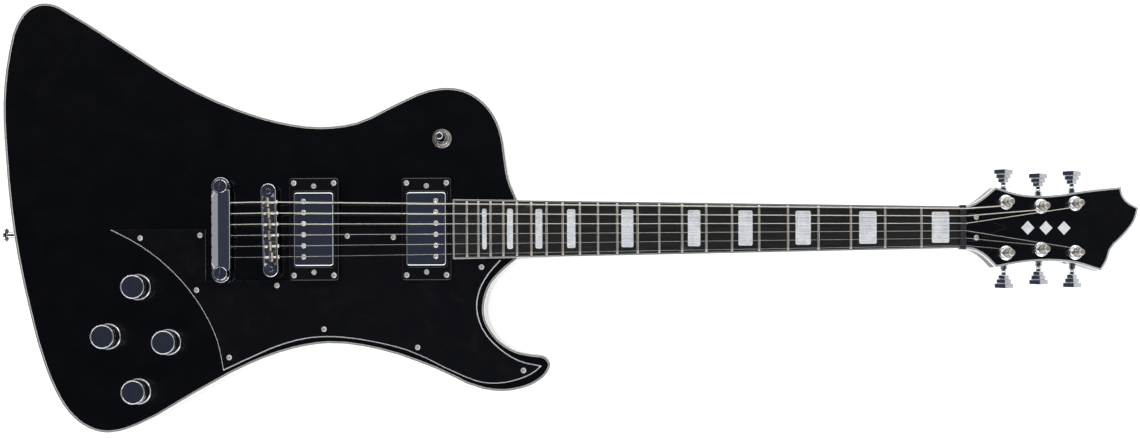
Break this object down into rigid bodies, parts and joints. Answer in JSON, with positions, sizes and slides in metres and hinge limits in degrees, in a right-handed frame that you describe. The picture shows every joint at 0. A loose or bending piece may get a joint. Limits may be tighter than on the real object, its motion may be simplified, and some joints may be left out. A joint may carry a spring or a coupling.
{
  "type": "electric guitar",
  "caption": "Solid-body electric guitar with a set neck, bound edges, two covered pickups, adjustable bridge, stop tailpiece and geared tuners.",
  "frame": {"origin": "back face of the body, on the instrument's centreline, under the bridge line (one scale length from the nut)", "axes": "+X towards the headstock along the strings, +Y towards the bass side, +Z out of the front, towards the strings; the guitar lies on its back"},
  "size_m": [1.0678, 0.3992, 0.0667],
  "materials": {
    "black_lacquer_wood": "gloss",
    "cream_binding": "gloss",
    "guard_plastic": "gloss",
    "cover_plastic": "satin",
    "nickel_screws": "satin",
    "dark_hardwood": "satin",
    "fret_wire": "polished",
    "pearl": "gloss",
    "nut_plastic": "satin",
    "steel": "satin",
    "black_plastic": "gloss",
    "chrome": "polished",
    "coil_plastic": "matte",
    "wound_wire": "satin",
    "brass": "satin"
  },
  "bodies": {
    "instrument": {"body": "black_lacquer_wood", "body_binding": "cream_binding", "pickguard": "guard_plastic", "control_cover": "cover_plastic", "switch_cover": "cover_plastic", "trim_screws": "nickel_screws", "neck": "black_lacquer_wood", "head_veneer": "black_lacquer_wood", "head_binding": "cream_binding", "fretboard": "dark_hardwood", "fretboard_binding": "cream_binding", "frets": "fret_wire", "inlays": "pearl", "nut": "nut_plastic", "truss_rod": "steel", "truss_rod_cover": "black_plastic", "bridge_pickup_ring": "black_plastic", "neck_pickup_ring": "black_plastic", "bridge_pickup_cover": "chrome", "neck_pickup_cover": "chrome", "bridge_pickup_coils": "coil_plastic", "neck_pickup_coils": "coil_plastic", "pole_screws": "nickel_screws", "height_screws": "nickel_screws", "bridge_base": "chrome", "bridge_posts": "chrome", "saddle_screws": "steel", "tailpiece": "chrome", "tailpiece_studs": "chrome", "wound_strings": "wound_wire", "plain_strings": "steel", "pots": "steel", "toggle_switch": "chrome", "output_jack": "steel", "strap_buttons": "chrome", "tuner_housings": "chrome", "tuner_bushings": "chrome"},
    "knob_upper": {"knob_upper": "chrome"},
    "knob_left": {"knob_left": "chrome"},
    "knob_right": {"knob_right": "chrome"},
    "knob_lower": {"knob_lower": "chrome"},
    "toggle_lever": {"toggle_lever": "black_plastic"},
    "saddle_1": {"saddle_1": "brass"},
    "saddle_2": {"saddle_2": "brass"},
    "saddle_3": {"saddle_3": "brass"},
    "saddle_4": {"saddle_4": "brass"},
    "saddle_5": {"saddle_5": "brass"},
    "saddle_6": {"saddle_6": "brass"},
    "post_1": {"post_1": "chrome"},
    "post_2": {"post_2": "chrome"},
    "post_3": {"post_3": "chrome"},
    "post_4": {"post_4": "chrome"},
    "post_5": {"post_5": "chrome"},
    "post_6": {"post_6": "chrome"},
    "key_1": {"key_1": "chrome"},
    "key_2": {"key_2": "chrome"},
    "key_3": {"key_3": "chrome"},
    "key_4": {"key_4": "chrome"},
    "key_5": {"key_5": "chrome"},
    "key_6": {"key_6": "chrome"}
  },
  "joints": [
    {"name": "knob_upper_turn", "type": "hinge", "parent": "instrument", "child": "knob_upper", "pos_m": [-0.129, -0.052, 0.045], "axis": [0, 0, 1], "range_deg": [-150, 150]},
    {"name": "knob_left_turn", "type": "hinge", "parent": "instrument", "child": "knob_left", "pos_m": [-0.157, -0.0976, 0.045], "axis": [0, 0, 1], "range_deg": [-150, 150]},
    {"name": "knob_right_turn", "type": "hinge", "parent": "instrument", "child": "knob_right", "pos_m": [-0.101, -0.103, 0.045], "axis": [0, 0, 1], "range_deg": [-150, 150]},
    {"name": "knob_lower_turn", "type": "hinge", "parent": "instrument", "child": "knob_lower", "pos_m": [-0.129, -0.1485, 0.045], "axis": [0, 0, 1], "range_deg": [-150, 150]},
    {"name": "toggle_tilt", "type": "hinge", "parent": "instrument", "child": "toggle_lever", "pos_m": [0.153, 0.084, 0.0425], "axis": [1, 0, 0], "range_deg": [-12, 12]},
    {"name": "saddle_1_slide", "type": "slide", "parent": "instrument", "child": "saddle_1", "axis": [0.9996, 0.0297, 0], "range_m": [-0.0014, 0.0046]},
    {"name": "saddle_2_slide", "type": "slide", "parent": "instrument", "child": "saddle_2", "axis": [0.9996, 0.0297, 0], "range_m": [-0.0022, 0.0038]},
    {"name": "saddle_3_slide", "type": "slide", "parent": "instrument", "child": "saddle_3", "axis": [0.9996, 0.0297, 0], "range_m": [-0.003, 0.003]},
    {"name": "saddle_4_slide", "type": "slide", "parent": "instrument", "child": "saddle_4", "axis": [0.9996, 0.0297, 0], "range_m": [-0.0021, 0.0039]},
    {"name": "saddle_5_slide", "type": "slide", "parent": "instrument", "child": "saddle_5", "axis": [0.9996, 0.0297, 0], "range_m": [-0.0028, 0.0032]},
    {"name": "saddle_6_slide", "type": "slide", "parent": "instrument", "child": "saddle_6", "axis": [0.9996, 0.0297, 0], "range_m": [-0.0036, 0.0024]},
    {"name": "key_1_turn", "type": "hinge", "parent": "instrument", "child": "key_1", "pos_m": [0.67748, 0.0495, 0.01659], "axis": [0, 1, 0], "continuous": true},
    {"name": "post_1_turn", "type": "hinge", "parent": "instrument", "child": "post_1", "pos_m": [0.67392, 0.0235, 0.03572], "axis": [0.1616, 0, 0.9869], "continuous": true},
    {"name": "key_2_turn", "type": "hinge", "parent": "instrument", "child": "key_2", "pos_m": [0.71172, 0.046, 0.01098], "axis": [0, 1, 0], "continuous": true},
    {"name": "post_2_turn", "type": "hinge", "parent": "instrument", "child": "post_2", "pos_m": [0.70816, 0.02, 0.03011], "axis": [0.1616, 0, 0.9869], "continuous": true},
    {"name": "key_3_turn", "type": "hinge", "parent": "instrument", "child": "key_3", "pos_m": [0.74527, 0.0488, 0.00549], "axis": [0, 1, 0], "continuous": true},
    {"name": "post_3_turn", "type": "hinge", "parent": "instrument", "child": "post_3", "pos_m": [0.74172, 0.0228, 0.02461], "axis": [0.1616, 0, 0.9869], "continuous": true},
    {"name": "key_4_turn", "type": "hinge", "parent": "instrument", "child": "key_4", "pos_m": [0.74527, -0.0488, 0.00549], "axis": [0, -1, 0], "continuous": true},
    {"name": "post_4_turn", "type": "hinge", "parent": "instrument", "child": "post_4", "pos_m": [0.74172, -0.0228, 0.02461], "axis": [0.1616, 0, 0.9869], "continuous": true},
    {"name": "key_5_turn", "type": "hinge", "parent": "instrument", "child": "key_5", "pos_m": [0.71172, -0.046, 0.01098], "axis": [0, -1, 0], "continuous": true},
    {"name": "post_5_turn", "type": "hinge", "parent": "instrument", "child": "post_5", "pos_m": [0.70816, -0.02, 0.03011], "axis": [0.1616, 0, 0.9869], "continuous": true},
    {"name": "key_6_turn", "type": "hinge", "parent": "instrument", "child": "key_6", "pos_m": [0.67748, -0.0495, 0.01659], "axis": [0, -1, 0], "continuous": true},
    {"name": "post_6_turn", "type": "hinge", "parent": "instrument", "child": "post_6", "pos_m": [0.67392, -0.0235, 0.03572], "axis": [0.1616, 0, 0.9869], "continuous": true}
  ],
  "couplings": [
    {"joint": "post_1_turn", "follows": "key_1_turn", "ratio": 0.055556},
    {"joint": "post_2_turn", "follows": "key_2_turn", "ratio": 0.055556},
    {"joint": "post_3_turn", "follows": "key_3_turn", "ratio": 0.055556},
    {"joint": "post_4_turn", "follows": "key_4_turn", "ratio": -0.055556},
    {"joint": "post_5_turn", "follows": "key_5_turn", "ratio": -0.055556},
    {"joint": "post_6_turn", "follows": "key_6_turn", "ratio": -0.055556}
  ]
}
